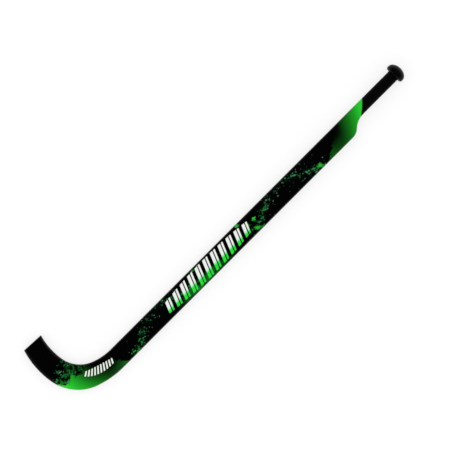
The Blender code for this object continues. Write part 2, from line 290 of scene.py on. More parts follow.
def outer_edge(x):
    """The outer edge's Y at x, with its slope as an angle: the paddle, the shoulder's crest, its
    hollow and the handle."""
    slope = 2 * math.atan2(PADDLE_WIDTH - HANDLE_WIDTH, SHOULDER_LENGTH)
    hollow_radius = SHOULDER_LENGTH / math.sin(slope) - SHOULDER_CREST_RADIUS
    shoulder_end = PADDLE_LENGTH + SHOULDER_LENGTH
    if x <= PADDLE_LENGTH:
        return -PADDLE_WIDTH, 0.0
    if x < PADDLE_LENGTH + SHOULDER_CREST_RADIUS * math.sin(slope):
        angle = math.asin((x - PADDLE_LENGTH) / SHOULDER_CREST_RADIUS)
        return SHOULDER_CREST_RADIUS * (1 - math.cos(angle)) - PADDLE_WIDTH, angle
    if x < shoulder_end:
        angle = math.asin((shoulder_end - x) / hollow_radius)
        return hollow_radius * (math.cos(angle) - 1) - HANDLE_WIDTH, angle
    return -HANDLE_WIDTH, 0.0


def straight_station(inner_x, outer_x, raked):
    """One line across the straight part. raked is the share of the rake's lean and curve in it."""
    outer_y, slope = outer_edge(outer_x)
    lean = raked * (rake_inner_x - rake_outer_x) / HANDLE_WIDTH
    slide = (lean * math.cos(slope) + math.sin(slope)) / (
        math.cos(slope) - lean * math.sin(slope)
    )
    outer_in = Vector((-math.sin(slope), math.cos(slope)))
    outer_in += slide * Vector((math.cos(slope), math.sin(slope)))
    inner = Vector((inner_x, 0.0))
    outer = Vector((outer_x, outer_y))
    return inner, Vector((-lean, -1.0)), outer, outer_in, -outer_y, None, raked


def film_stations(toe_inset):
    """Lines across the stick from the rake to the toe, which fan out from the rake's lean to
    square. Each has the inner point and its way in, the outer point and its way in, the width, the
    distance along the middle (none where it is simply X) and the share of the rake."""
    stations = []
    fan_start = rake_inner_x - FAN_LENGTH
    for step in range(FAN_STEPS, 0, -1):
        share = step / FAN_STEPS
        inner_x = fan_start + share * FAN_LENGTH
        outer_x = fan_start + share * (rake_outer_x - fan_start)
        stations.append(straight_station(inner_x, outer_x, share))
    for step in range(SHOULDER_STEPS, 0, -1):
        x = PADDLE_LENGTH + (fan_start - PADDLE_LENGTH) * step / SHOULDER_STEPS
        stations.append(straight_station(x, x, 0.0))
    for step in range(PADDLE_STEPS, -1, -1):
        x = PADDLE_LENGTH * step / PADDLE_STEPS
        stations.append(straight_station(x, x, 0.0))
    arcs = (
        (THROAT_RADIUS, math.radians(THROAT_TURN), THROAT_STEPS),
        (HEEL_RADIUS, math.radians(HEEL_TURN), HEEL_STEPS),
        (TOE_RADIUS, math.radians(TOE_TURN) - toe_inset / TOE_RADIUS, TOE_STEPS),
    )
    edge = Vector((0.0, 0.0))
    turn = 0.0
    along = 0.0
    for radius, angle, steps in arcs:
        centre = edge + radius * Vector((math.sin(turn), math.cos(turn)))
        for step in range(1, steps + 1):
            here = turn + angle * step / steps
            width = blade_width(here)
            edge = centre - radius * Vector((math.sin(here), math.cos(here)))
            across = way_across(here)
            along -= (radius + width / 2) * angle / steps
            outer = edge + across * width
            stations.append((edge, across, outer, -across, width, along, 0.0))
        turn += angle
    return stations


def rake_curve(share):
    """How far the rake bows up the handle, at a share of the way across it."""
    chord = math.hypot(rake_inner_x - rake_outer_x, HANDLE_WIDTH)
    return 4 * GRIP_RAKE_BULGE * chord / HANDLE_WIDTH * share * (1 - share)


def add_piece(name, body):
    """Turns a body in the stick's own axes into a smooth piece that lies where the stick lies."""
    mesh = bpy.data.meshes.new(name)
    body.to_mesh(mesh)
    body.free()
    mesh.transform(lying)
    mesh.shade_smooth()
    mesh.set_sharp_from_angle(angle=SHARP_ANGLE)
    piece = bpy.data.objects.new(name, mesh)
    bpy.context.scene.collection.objects.link(piece)
    return piece


def add_film(name, up):
    """The film of one face: rings from the seam up and over the edge, then the face's grid. Each
    point carries its place in the print: how far along and across the stick it lies, and how wide
    the stick is there."""
    body = bmesh.new()
    print_place = body.verts.layers.float_vector.new("print_place")

    def add_point(station, inset, across_share, z, wrap, toe_wrap):
        """A point at a share of the way between the two edges drawn in by inset. wrap is how far
        over the edge it lies, measured on the film."""
        inner, inner_in, outer, outer_in, width, along, raked = station
        low = inner + inner_in * inset
        high = outer + outer_in * inset
        spot = low.lerp(high, across_share)
        width_share = inset / width + across_share * (1 - 2 * inset / width)
        spot.x += raked * rake_curve(width_share)
        across = EDGE_ROUND + across_share * (width - 2 * EDGE_ROUND)
        across += wrap * (2 * across_share - 1)
        vert = body.verts.new((spot.x, spot.y, up * z))
        measured = spot.x if along is None else along - toe_wrap
        vert[print_place] = (measured, across, width)
        return vert

    levels = [(0.0, SEAM, HALF_THICKNESS - EDGE_ROUND - SEAM + EDGE_ROUND * QUARTER_TURN)]
    for step in range(EDGE_STEPS + 1):
        left = QUARTER_TURN * (1 - step / EDGE_STEPS)
        height = HALF_THICKNESS - EDGE_ROUND * (1 - math.cos(left))
        levels.append((1 - math.sin(left), height, EDGE_ROUND * left))
    rings = []
    for drawn_in, z, wrap in levels:
        stations = film_stations(drawn_in * TOE_EDGE_ROUND)
        inset = drawn_in * EDGE_ROUND
        ring = [add_point(station, inset, 0.0, z, wrap, 0.0) for station in stations]
        for step in range(1, FACE_STEPS):
            ring.append(add_point(stations[-1], inset, step / FACE_STEPS, z, wrap, wrap))
        ring += [add_point(station, inset, 1.0, z, wrap, 0.0) for station in reversed(stations)]
        rings.append(ring)
    quads = []
    for lower, upper in zip(rings, rings[1:]):
        for i in range(len(lower) - 1):
            quads.append((lower[i], lower[i + 1], upper[i + 1], upper[i]))
    count = len(stations)
    rows = []
    for i, station in enumerate(stations[:-1]):
        row = [rings[-1][i]]
        for step in range(1, FACE_STEPS):
            share = step / FACE_STEPS
            row.append(add_point(station, EDGE_ROUND, share, HALF_THICKNESS, 0.0, 0.0))
        row.append(rings[-1][-1 - i])
        rows.append(row)
    rows.append(rings[-1][count - 1 : count + FACE_STEPS])
    for upper, lower in zip(rows, rows[1:]):
        for i in range(FACE_STEPS):
            quads.append((upper[i], lower[i], lower[i + 1], upper[i + 1]))
    for quad in quads:
        body.faces.new(quad if up > 0 else reversed(quad))
    film = add_piece(name, body)
    thick = film.modifiers.new("film_thickness", "SOLIDIFY")
    thick.thickness = FILM_THICKNESS
    thick.offset = -1.0
    flat = film.modifiers.new("level_faces", "WEIGHTED_NORMAL")
    flat.keep_sharp = True
    return film


front_film = add_film("front_printed_film", 1)
back_film = add_film("back_printed_film", -1)

# Print: black and green inks on the film, under a hard clear lacquer. Green fades lie over the
# shoulder and round the heel and end in torn edges, drops and strands of green are spattered over
# the black, and a row of slanted bars stands on the paddle, with a smaller one at the heel.

# Places in the print are in mm, along the middle of the stick and across it from one edge. A
# stretch is where something begins, is full, is last full and ends. Patches have a size along and
# across, a detail, and the cloud's levels where they are bare and where they are full.

BLACK_INK = linear("#010201")
NO_INK = linear("#000000")

print_material, tree, shader = start_material("lacquered_print_film")
measure = add_node(tree, "Attribute", {}, attribute_name="print_place").outputs["Vector"]
place = add_node(tree, "VectorMath", {0: measure, "Scale": 1000.0}, operation="SCALE")
along, across, width = add_node(tree, "SeparateXYZ", {0: place}).outputs
from_outer = add_node(tree, "Math", {0: width, 1: across}, operation="SUBTRACT")
across_share = add_node(tree, "Math", {0: across, 1: width}, operation="DIVIDE")
inner_place = add_node(tree, "CombineXYZ", {0: along, 1: across})
outer_place = add_node(tree, "CombineXYZ", {0: along, 1: from_outer})


def add_stretch(tree, value, stretch):
    """1 where the stretch is full, falling smoothly to 0 where it begins and ends."""
    begin, full, last_full, end = stretch
    slopes = []
    for bare, covered in ((begin, full), (end, last_full)):
        slope = {"Value": value, "From Min": bare, "From Max": covered}
        slopes.append(add_node(tree, "MapRange", slope, interpolation_type="SMOOTHSTEP"))
    return add_node(tree, "Math", {0: slopes[0], 1: slopes[1]}, operation="MULTIPLY")


def add_distance(tree, place, centre, reach):
    """The distance from a centre, as a share of the reach along and across."""
    away = add_node(tree, "VectorMath", {0: place, 1: (*centre, 0.0)}, operation="SUBTRACT")
    away = add_node(tree, "VectorMath", {0: away, 1: (*reach, 1.0)}, operation="DIVIDE")
    return add_node(tree, "VectorMath", {0: away}, operation="LENGTH")


def add_patches(tree, place, patches):
    """Uneven cover, from 0 where the patches are bare to 1 where they are full."""
    size, detail, bare, full = patches
    scaled = add_node(tree, "VectorMath", {0: place, 1: (*size, 1.0)}, operation="DIVIDE")
    cloud = add_node(tree, "TexNoise", {"Vector": scaled, "Scale": 1.0, "Detail": detail})
    return add_node(tree, "MapRange", {"Value": cloud, "From Min": bare, "From Max": full})


# The shoulder's fade leans across the stick. Below it a darker one, measured on the same scale so
# that they run into each other, runs on along the outer edge. At its torn end it drops by the
# whole scale.

SHOULDER_FADE = {"From Min": 610.0, "From Max": 680.0}
SHOULDER_LEAN = 0.35
SHOULDER_BOW = 0.006
LOW_FADE_LEVEL = 627.2
LOW_FADE_DROP = 0.5
LOW_FADE_END = (540, 564, 566, 586)
LOW_FADE_END_RISE = 4.5
LOW_TEAR = ((8.0, 5.0), 4.0, 0.0, 1.0)
LOW_TEAR_LEAN = 1.3
LOW_TEAR_DEPTH = 34.0
LOW_TORN_OFF = {"From Min": 570.0, "From Max": 573.0, "To Min": -70.0, "To Max": 0.0}
FADES_JOIN = 16.0
SHOULDER_INKS = (
    (0.02, "#000000"),
    (0.09, "#021504"),
    (0.20, "#083F0B"),
    (0.42, "#0F6C14"),
    (0.65, "#1A9A20"),
    (0.86, "#26C42D"),
    (1.00, "#2AD131"),
)

lean = add_node(
    tree, "Math", {0: across, 1: SHOULDER_BOW, 2: SHOULDER_LEAN}, operation="MULTIPLY_ADD"
)
fade = add_node(tree, "Math", {0: across, 1: lean, 2: along}, operation="MULTIPLY_ADD")
low_fade = add_node(
    tree, "Math", {0: from_outer, 1: -LOW_FADE_DROP, 2: LOW_FADE_LEVEL}, operation="MULTIPLY_ADD"
)
low_end = add_stretch(tree, along, LOW_FADE_END)
low_fade = add_node(
    tree, "Math", {0: low_end, 1: LOW_FADE_END_RISE, 2: low_fade}, operation="MULTIPLY_ADD"
)
tear = add_patches(tree, inner_place, LOW_TEAR)
tear = add_node(tree, "Math", {0: tear, 1: LOW_TEAR_DEPTH, 2: along}, operation="MULTIPLY_ADD")
tear = add_node(
    tree, "Math", {0: from_outer, 1: -LOW_TEAR_LEAN, 2: tear}, operation="MULTIPLY_ADD"
)
torn_off = add_node(tree, "MapRange", {"Value": tear, **LOW_TORN_OFF})
low_fade = add_node(tree, "Math", {0: low_fade, 1: torn_off}, operation="ADD")
fade = add_node(tree, "Math", {0: fade, 1: low_fade, 2: FADES_JOIN}, operation="SMOOTH_MAX")
share = add_node(tree, "MapRange", {"Value": fade, **SHOULDER_FADE})
shoulder = add_node(tree, "ValToRGB", {0: share}, SHOULDER_INKS)

# The heel's fade is brightest on its outer edge. Towards the toe it is torn off, and dark green
# patches follow it. A smaller fade at the throat is torn off towards the paddle.

HEEL_FADE = {"From Min": 5.0, "From Max": -95.0}
HEEL_LEAN = 1.42
HEEL_TEAR = ((8.0, 7.0), 5.0, 0.25, 0.75)
HEEL_TEAR_DEPTH = 15.0
HEEL_TOP = {"From Min": -84.0, "From Max": -56.0, "To Min": 21.0, "To Max": 61.0}
HEEL_LIP = {"From Min": 7.0, "From Max": 1.0, "To Max": 14.0}
HEEL_TOE_END = 100.0
HEEL_TOE_LEAN = 0.25
HEEL_CORNER = 8.0
HEEL_INKS = (
    (0.00, "#000000"),
    (0.08, "#031404"),
    (0.27, "#083A0A"),
    (0.39, "#0B540F"),
    (0.50, "#0F7015"),
    (0.72, "#1CA123"),
    (0.88, "#24BA2B"),
    (1.00, "#2AD131"),
)
PATCHES_RUN = (-126, -114, -84, -68)
DARK_PATCHES = ((8.0, 6.0), 4.0, 0.43, 0.60)
PATCH_SHADES = ((5.0, 11.0), 3.0, 0.34, 0.66)
PATCH_INKS = ((0.0, "#052009"), (0.5, "#0E4C18"), (1.0, "#1E8A2C"))
THROAT_CENTRE = (4.0, 4.0)
THROAT_REACH = (36.0, 22.0)
THROAT_END = 3.5
THROAT_LEAN = 0.75
THROAT_TEAR_DEPTH = 11.0
THROAT_INKS = ((0.0, "#136217"), (0.35, "#0B420E"), (0.72, "#042006"), (1.0, "#000000"))
TORN_EDGE = {"From Min": -0.8, "From Max": 0.8}


def add_torn_edge(tree, ragged, inside, depth):
    """1 inside a torn edge and 0 outside it. inside is how far inside its deepest tears one is."""
    torn = add_node(tree, "Math", {0: ragged, 1: depth, 2: inside}, operation="MULTIPLY_ADD")
    return add_node(tree, "MapRange", {"Value": torn, **TORN_EDGE})


lean = add_node(tree, "Math", {0: from_outer, 1: HEEL_LEAN, 2: along}, operation="MULTIPLY_ADD")
share = add_node(tree, "MapRange", {"Value": lean, **HEEL_FADE})
heel = add_node(tree, "ValToRGB", {0: share}, HEEL_INKS)
ragged = add_patches(tree, inner_place, HEEL_TEAR)
top = add_node(tree, "MapRange", {"Value": along, **HEEL_TOP})
above = add_node(tree, "Math", {0: top, 1: from_outer}, operation="SUBTRACT")
lip = add_node(tree, "MapRange", {"Value": from_outer, **HEEL_LIP}, interpolation_type="SMOOTHSTEP")
beside = add_node(
    tree, "Math", {0: from_outer, 1: -HEEL_TOE_LEAN, 2: lip}, operation="MULTIPLY_ADD"
)
beside = add_node(tree, "Math", {0: beside, 1: along}, operation="ADD")
beside = add_node(tree, "Math", {0: beside, 1: HEEL_TOE_END}, operation="ADD")
inside = add_node(tree, "Math", {0: above, 1: beside, 2: HEEL_CORNER}, operation="SMOOTH_MIN")
kept = add_torn_edge(tree, ragged, inside, HEEL_TEAR_DEPTH)
heel = add_node(tree, "Mix", {"Factor": kept, "A": NO_INK, "B": heel}, data_type="RGBA")

patches = add_patches(tree, inner_place, DARK_PATCHES)
patches_run = add_stretch(tree, along, PATCHES_RUN)
cover = add_node(tree, "Math", {0: patches, 1: patches_run}, operation="MULTIPLY")
shades = add_patches(tree, inner_place, PATCH_SHADES)
patch_inks = add_node(tree, "ValToRGB", {0: shades}, PATCH_INKS)
patches = add_node(tree, "Mix", {"Factor": cover, "A": NO_INK, "B": patch_inks}, data_type="RGBA")

throat = add_distance(tree, outer_place, THROAT_CENTRE, THROAT_REACH)
throat = add_node(tree, "ValToRGB", {0: throat}, THROAT_INKS)
inside = add_node(
    tree, "Math", {0: from_outer, 1: -THROAT_LEAN, 2: THROAT_END}, operation="MULTIPLY_ADD"
)
inside = add_node(tree, "Math", {0: inside, 1: along}, operation="SUBTRACT")
kept = add_torn_edge(tree, ragged, inside, THROAT_TEAR_DEPTH)
throat = add_node(tree, "Mix", {"Factor": kept, "A": NO_INK, "B": throat}, data_type="RGBA")

ink = heel
for other, blend in (
    (patches, "LIGHTEN"),
    (throat, "ADD"),
    (shoulder, "LIGHTEN"),
    (BLACK_INK, "LIGHTEN"),
):
    both = {"Factor": 1.0, "A": ink, "B": other}
    ink = add_node(tree, "Mix", both, data_type="RGBA", blend_type=blend)

# The spatter winds from edge to edge in a loose chain along each half of the paddle, of strands
# with a mist and grey-green specks round them, and bigger drops cluster at the ends of each half.
# Here runs start from the paddle's middle, and ranges across are shares of the width.

PADDLE_MIDDLE = 284.0
HALVES_APART = 731.0
CHAIN_TURN = 262.0
CHAIN_HALF_WAVE = 100.0
CHAIN_MIDDLE = 0.48
CHAIN_SWING = 0.46
CHAIN_REACH = {"From Min": 0.30, "From Max": 0.05}
CHAIN_RUN = (72, 84, 248, 262)
CHAIN_ACROSS = {"From Min": 0.1, "From Max": 0.4, "To Min": 0.45, "To Max": 0.9}
CHAIN_CLUMPS = ((13.0, 11.0), 1.0, 0.38, 0.60)
MIST_PATCHES = ((7.0, 5.0), 4.0, 0.4, 0.7)
MIST_INK = linear("#0B3317")
SPECK_REACH = {"From Min": 0.90, "From Max": 0.20}
SPECK_RUN = (84, 120, 262, 276)
SPECK_CROWD = 0.3
DROPS_TEAR = ((7.0, 6.0), 5.0, 0.25, 0.75)
DROPS_TEAR_DEPTH = 14.0
DROP_CLUSTERS = (
    ((240, 252, 260, 272), {"From Min": 0.62, "From Max": 0.82}),
    ((74, 84, 94, 104), {"From Min": 0.25, "From Max": 0.40, "To Max": 0.9}),
    ((52, 62, 72, 82), {"From Min": 0.16, "From Max": 0.10}),
)

from_middle = add_node(tree, "Math", {0: along, 1: PADDLE_MIDDLE}, operation="SUBTRACT")
upper_half = add_node(tree, "Math", {0: from_middle, 1: 0.0}, operation="GREATER_THAN")
from_middle = add_node(tree, "Math", {0: from_middle}, operation="ABSOLUTE")
apart = add_node(
    tree, "Math", {0: upper_half, 1: HALVES_APART, 2: from_middle}, operation="MULTIPLY_ADD"
)
half_place = add_node(tree, "CombineXYZ", {0: apart, 1: across})
wave = add_node(tree, "Math", {0: from_middle, 1: CHAIN_TURN}, operation="SUBTRACT")
wave = add_node(tree, "Math", {0: wave, 1: math.pi / CHAIN_HALF_WAVE}, operation="MULTIPLY")
wave = add_node(tree, "Math", {0: wave}, operation="COSINE")
path = add_node(
    tree, "Math", {0: wave, 1: CHAIN_SWING, 2: CHAIN_MIDDLE}, operation="MULTIPLY_ADD"
)
off_path = add_node(tree, "Math", {0: across_share, 1: path}, operation="SUBTRACT")
off_path = add_node(tree, "Math", {0: off_path}, operation="ABSOLUTE")


def add_overlap(tree, covers, most=1.0):
    """Where several covers overlap: their product, times the most there is."""
    overlap = most
    for cover in covers:
        overlap = add_node(tree, "Math", {0: cover, 1: overlap}, operation="MULTIPLY")
    return overlap


near = add_node(tree, "MapRange", {"Value": off_path, **CHAIN_REACH})
clumps = add_patches(tree, half_place, CHAIN_CLUMPS)
side = add_node(tree, "MapRange", {"Value": across_share, **CHAIN_ACROSS})
chain = add_overlap(tree, (add_stretch(tree, from_middle, CHAIN_RUN), near, clumps, side))
mist = add_overlap(tree, (add_patches(tree, half_place, MIST_PATCHES), chain))
near = add_node(tree, "MapRange", {"Value": off_path, **SPECK_REACH})
specks = add_overlap(tree, (add_stretch(tree, from_middle, SPECK_RUN), near), SPECK_CROWD)
torn = add_patches(tree, half_place, DROPS_TEAR)
torn = add_node(
    tree, "Math", {0: torn, 1: DROPS_TEAR_DEPTH, 2: from_middle}, operation="MULTIPLY_ADD"
)
drops = 0.0
for run, cluster_across in DROP_CLUSTERS:
    side = add_node(tree, "MapRange", {"Value": across_share, **cluster_across})
    here = add_overlap(tree, (side, add_stretch(tree, torn, run)))
    drops = add_node(tree, "Math", {0: drops, 1: here}, operation="MAXIMUM")

# At the heel it is thicker, with streaks, and runs down to the outer edge.

HEEL_RUN = (-145, -132, -108, -98)
HEEL_DROP_CROWD = 0.34
STREAK_CROWD = 0.45
STREAKS_ACROSS = {"From Min": 0.1, "From Max": 0.8, "To Min": 0.35}
RUNS_DOWN = (-136, -126, -108, -102)
RUNS_DOWN_ACROSS = {"From Min": 0.5, "From Max": 0.85, "To Max": 0.6}

heel_run = add_stretch(tree, along, HEEL_RUN)
heel_drops = add_overlap(tree, (heel_run,), HEEL_DROP_CROWD)
side = add_node(tree, "MapRange", {"Value": across_share, **STREAKS_ACROSS})
streaks = add_overlap(tree, (heel_run, side), STREAK_CROWD)
side = add_node(tree, "MapRange", {"Value": across_share, **RUNS_DOWN_ACROSS})
runs_down = add_overlap(tree, (add_stretch(tree, along, RUNS_DOWN), side))

# All drops are spattered alike, at most one to a cell. Their radii and lumps are in cells.

STRAND_INKS = ("#1D6B3C", "#2A8A50", "#1C7A2E", "#468C64", "#1A6034", "#2BA044", "#155028")
SPECK_INKS = ("#3A463F", "#1D4A2F", "#5C6A60", "#245738", "#2E3A32", "#447A58")
DROP_INKS = ("#29B236", "#1F8A38", "#27A046", "#1A7829")
DROP_RADII = {"To Min": 0.28, "To Max": 0.56}
DROP_SOFTNESS = 0.25
CROWD_SOFTNESS = 0.15
LUMPS_PER_CELL = 2.2
LUMP_REACH = 1.3
LUMP_ROUGHNESS = 0.75


def spatter(tree, under, place, crowd, drop, inks):
    """Spatters ink over the ink under it, in drops that are drawn out along a lean and ragged at
    their edges. drop is the cell's width in mm, its length in widths and the lean in degrees.
    Crowding from 0 to 1 is the share of cells that hold a drop."""
    cell_mm, stretch, lean = drop
    lumps = {"Scale": LUMPS_PER_CELL / cell_mm, "Detail": 4.0, "Roughness": LUMP_ROUGHNESS}
    lumps = add_node(tree, "TexNoise", {"Vector": place, **lumps}).outputs["Color"]
    wobble = add_node(
        tree, "VectorMath", {0: lumps, "Scale": LUMP_REACH * cell_mm}, operation="SCALE"
    )
    cells = {
        "Vector": add_node(tree, "VectorMath", {0: place, 1: wobble}, operation="ADD"),
        "Rotation": (0.0, 0.0, math.radians(lean)),
        "Scale": (stretch * cell_mm, cell_mm, 1.0),
    }
    cells = add_node(tree, "Mapping", cells, vector_type="TEXTURE")
    drops = add_node(tree, "TexVoronoi", {"Vector": cells, "Scale": 1.0}, voronoi_dimensions="2D")
    chance, size, tint = add_node(tree, "SeparateXYZ", {0: drops.outputs["Color"]}).outputs
    there = add_node(tree, "Math", {0: crowd, 1: chance}, operation="SUBTRACT")
    there = add_node(tree, "MapRange", {"Value": there, "From Max": CROWD_SOFTNESS})
    radius = add_node(tree, "MapRange", {"Value": size, **DROP_RADII})
    radius = add_node(tree, "Math", {0: radius, 1: there}, operation="MULTIPLY")
    away = drops.outputs["Distance"]
    inside = add_node(tree, "Math", {0: radius, 1: away}, operation="SUBTRACT")
    inked = add_node(tree, "MapRange", {"Value": inside, "From Max": DROP_SOFTNESS})
    stops = [(number / len(inks), ink) for number, ink in enumerate(inks)]
    drop_inks = add_node(tree, "ValToRGB", {0: tint}, stops)
    drop_inks.color_ramp.interpolation = "CONSTANT"
    return add_node(tree, "Mix", {"Factor": inked, "A": under, "B": drop_inks}, data_type="RGBA")


# The mist lies under the drops, and each row of drops over the rows before it.
ink = add_node(tree, "Mix", {"Factor": mist, "A": ink, "B": MIST_INK}, data_type="RGBA")
for place, crowd, drop, inks in (
    (half_place, specks, (3.6, 1.2, -20.0), SPECK_INKS),
    (half_place, chain, (4.2, 4.4, 28.0), STRAND_INKS),
    (half_place, chain, (2.9, 1.8, -12.0), STRAND_INKS),
    (half_place, drops, (11.0, 1.5, 32.0), DROP_INKS),
    (inner_place, streaks, (5.0, 3.2, 118.0), STRAND_INKS),
    (inner_place, runs_down, (5.5, 2.4, 112.0), DROP_INKS),
    (inner_place, heel_drops, (8.0, 1.2, 60.0), DROP_INKS + STRAND_INKS),
    (inner_place, heel_drops, (3.8, 1.3, 20.0), STRAND_INKS),
):
    ink = spatter(tree, ink, place, crowd, drop, inks)

# The paddle's bars turn from white to green towards the outer edge, over a green haze. Those at
# the heel are white and stand alone.

BAR_SLANT = 0.41
BAR_SOFTNESS = 0.25
ROW_TAPER = 0.42
PADDLE_ROW = (245.0, 21.0, 114.4, 17.0)
PADDLE_PITCH = 20.8
PADDLE_BARS = ((3.4, 10.0), (12.4, 16.4))
BAR_TURNS_GREEN = {"From Min": 22.0, "From Max": 28.0}
PADDLE_BAR_INKS = ((0.0, "#EFF1ED"), (0.42, "#A8F5C4"), (1.0, "#2EDC3B"))
HEEL_ROW = (-43.0, 18.5, 33.0, 7.5)
HEEL_PITCH = 6.6
HEEL_BARS = ((1.6, 5.0),)
HEEL_BAR_INK = linear("#E9F4E6")
HAZE_CENTRE = (226.0, 36.0)
HAZE_REACH = (86.0, 16.0)
HAZE_FADE = {"From Min": 1.0, "From Max": 0.2}
HAZE_PATCHES = ((12.0, 8.0), 5.0, 0.36, 0.64)
HAZE_INK = linear("#17702A")


def add_bars(tree, place, row, pitch, bars):
    """A row of slanted bars. row is its middle along and across, its half length and the half
    height at its middle, which falls towards its ends. bars gives where in each pitch a bar starts
    and ends."""
    middle_along, middle_across, half_length, half_height = row
    middle = (middle_along, middle_across, 0.0)
    away = add_node(tree, "VectorMath", {0: place, 1: middle}, operation="SUBTRACT")
    away_along, away_across, _ = add_node(tree, "SeparateXYZ", {0: away}).outputs
    slid = add_node(
        tree, "Math", {0: away_across, 1: BAR_SLANT, 2: away_along}, operation="MULTIPLY_ADD"
    )
    turn = add_node(tree, "Math", {0: slid, 1: half_length}, operation="ADD")
    turn = add_node(tree, "Math", {0: turn, 1: pitch}, operation="FLOORED_MODULO")
    soft = BAR_SOFTNESS
    inked = 0.0
    for start, end in bars:
        bar = add_stretch(tree, turn, (start - soft, start + soft, end - soft, end + soft))
        inked = add_node(tree, "Math", {0: inked, 1: bar}, operation="MAXIMUM")
    length = add_node(tree, "Math", {0: slid, 1: 1 / half_length}, operation="MULTIPLY")
    within = add_node(tree, "Math", {0: length}, operation="ABSOLUTE")
    within = add_node(tree, "Math", {0: within, 1: 1.0}, operation="LESS_THAN")
    taper = add_node(tree, "Math", {0: length, 1: length}, operation="MULTIPLY")
    fall = -ROW_TAPER * half_height
    top = add_node(tree, "Math", {0: taper, 1: fall, 2: half_height}, operation="MULTIPLY_ADD")
    height = add_node(tree, "Math", {0: away_across}, operation="ABSOLUTE")
    spare = add_node(tree, "Math", {0: top, 1: height}, operation="SUBTRACT")
    inside = add_node(tree, "MapRange", {"Value": spare, "From Min": -soft, "From Max": soft})
    return add_overlap(tree, (inked, within, inside))


haze = {"Value": add_distance(tree, inner_place, HAZE_CENTRE, HAZE_REACH), **HAZE_FADE}
haze = add_node(tree, "MapRange", haze, interpolation_type="SMOOTHSTEP")
haze = add_overlap(tree, (haze, add_patches(tree, inner_place, HAZE_PATCHES)))
green_share = add_node(tree, "MapRange", {"Value": across, **BAR_TURNS_GREEN})
paddle_bar_inks = add_node(tree, "ValToRGB", {0: green_share}, PADDLE_BAR_INKS)
paddle_bars = add_bars(tree, inner_place, PADDLE_ROW, PADDLE_PITCH, PADDLE_BARS)
heel_bars = add_bars(tree, inner_place, HEEL_ROW, HEEL_PITCH, HEEL_BARS)
for cover, printed in (
    (haze, HAZE_INK),
    (paddle_bars, paddle_bar_inks),
    (heel_bars, HEEL_BAR_INK),
):
    ink = add_node(tree, "Mix", {"Factor": cover, "A": ink, "B": printed}, data_type="RGBA")

# The lacquer is hard and glossy over the inks, with faint long scuffs. The glass cloth under the
# film just shows through it, drawn with the same wide threads as the cloth itself.

SHOW_THROUGH_HEIGHT = 0.00001
SCUFFS = ((40.0, 6.0), 5.0, 0.35, 0.7)
LACQUER_GLOSS = {"To Min": 0.33, "To Max": 0.46}

weave = add_weave(tree, add_stick_place(tree), GLASS_THREAD_MM)
show_through = {"Height": weave, "Distance": SHOW_THROUGH_HEIGHT, "Strength": 0.5}
show_through = add_node(tree, "Bump", show_through)
scuffs = add_patches(tree, inner_place, SCUFFS)
gloss = add_node(tree, "MapRange", {"Value": scuffs, **LACQUER_GLOSS})
lacquer = {
    "Base Color": ink,
    "Roughness": gloss,
    "IOR": 1.5,
    "Normal": show_through,
    "Specular IOR Level": 0.0,
    "Coat Weight": 0.4,
    "Coat Roughness": 0.16,
}
set_inputs(tree, shader, lacquer)

for film, node in ((front_film, "front_print_film"), (back_film, "back_print_film")):
    film.data.materials.append(print_material)
    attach(film, "root")
    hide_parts(node)

# Grip sleeve: a black rubber tube, moulded to the milled tang and glued on. It meets the film along
# a raked lip, flush at the edges and proud on the faces. Shallow grooves across the faces of its
# straight part keep a gloved hand from slipping.

GRIP_HALF = 0.0095
GRIP_ROUND = 0.0070
GRIP_LIP_HALF = 0.0083
GRIP_LIP_ROUND = 0.0012
SQUARE_ABOVE_RAKE = 0.0035
BORE_HALF_WIDTH = 0.0100
BORE_HALF = 0.0077
BORE_ROUND = 0.0062
SLEEVE_SEAM = 0.0001
SLEEVE_END_ROUND = 0.0004
SLEEVE_END_SHARES = (0.0, 0.3, 0.7, 1.0)

GROOVE_COUNT = 14
GROOVE_START = 0.0020
GROOVE_PITCH = 0.0046
GROOVE_DEPTH = 0.00035
GROOVE_FLANK = ((0.0011, 0.0), (0.0007, 0.35), (0.0004, 0.8), (0.0, 1.0))

CORNER_STEPS = 8
LIP_STEPS = 5
WEDGE_STEPS = 8


def sleeve_section(half_width, half, radius):
    """Points round a section with rounded corners. Each has its place across and its height, and
    how squarely the surface there faces up or down."""
    points = []
    for step in range(CORNER_STEPS + 1):
        angle = QUARTER_TURN * step / CORNER_STEPS
        y = half_width - radius + radius * math.cos(angle)
        points.append((y, half - radius + radius * math.sin(angle), math.sin(angle)))
    corner_y = half_width - radius
    for step in range(1, FACE_STEPS // 2 + 1):
        points.append((corner_y * (1 - 2 * step / FACE_STEPS), half, 1.0))
    points += [(-y, z, facing) for y, z, facing in reversed(points[:-1])]
    points += [(-y, -z, facing) for y, z, facing in points]
    return points


def add_sleeve_ring(body, section, square, x, groove):
    """One ring round the sleeve. square runs from 0, for a ring along the rake, to 1, for one
    straight across the handle, and x moves the ring up the handle. Rings as wide as the handle
    follow the end of the shoulder, which still flares there."""
    ring = []
    for y, z, facing in sleeve_section(*section):
        share = 0.5 - y / HANDLE_WIDTH
        raked = rake_inner_x + share * (rake_outer_x - rake_inner_x) + rake_curve(share)
        spot_x = x + (1 - square) * raked
        flare = -HANDLE_WIDTH - outer_edge(spot_x)[0]
        if section[0] == HANDLE_WIDTH / 2 and y < 0:
            y += flare * 2 * y / HANDLE_WIDTH
        z -= math.copysign(groove * GROOVE_DEPTH * max(0.0, 2 * facing - 1), z)
        ring.append(body.verts.new((spot_x, y - HANDLE_WIDTH / 2, z)))
    return ring


def close_rings(body, rings):
    """Faces from each ring of points to the next, all the way round."""
    for lower, upper in zip(rings, rings[1:]):
        for i in range(len(lower)):
            j = (i + 1) % len(lower)
            body.faces.new((lower[i], lower[j], upper[j], upper[i]))


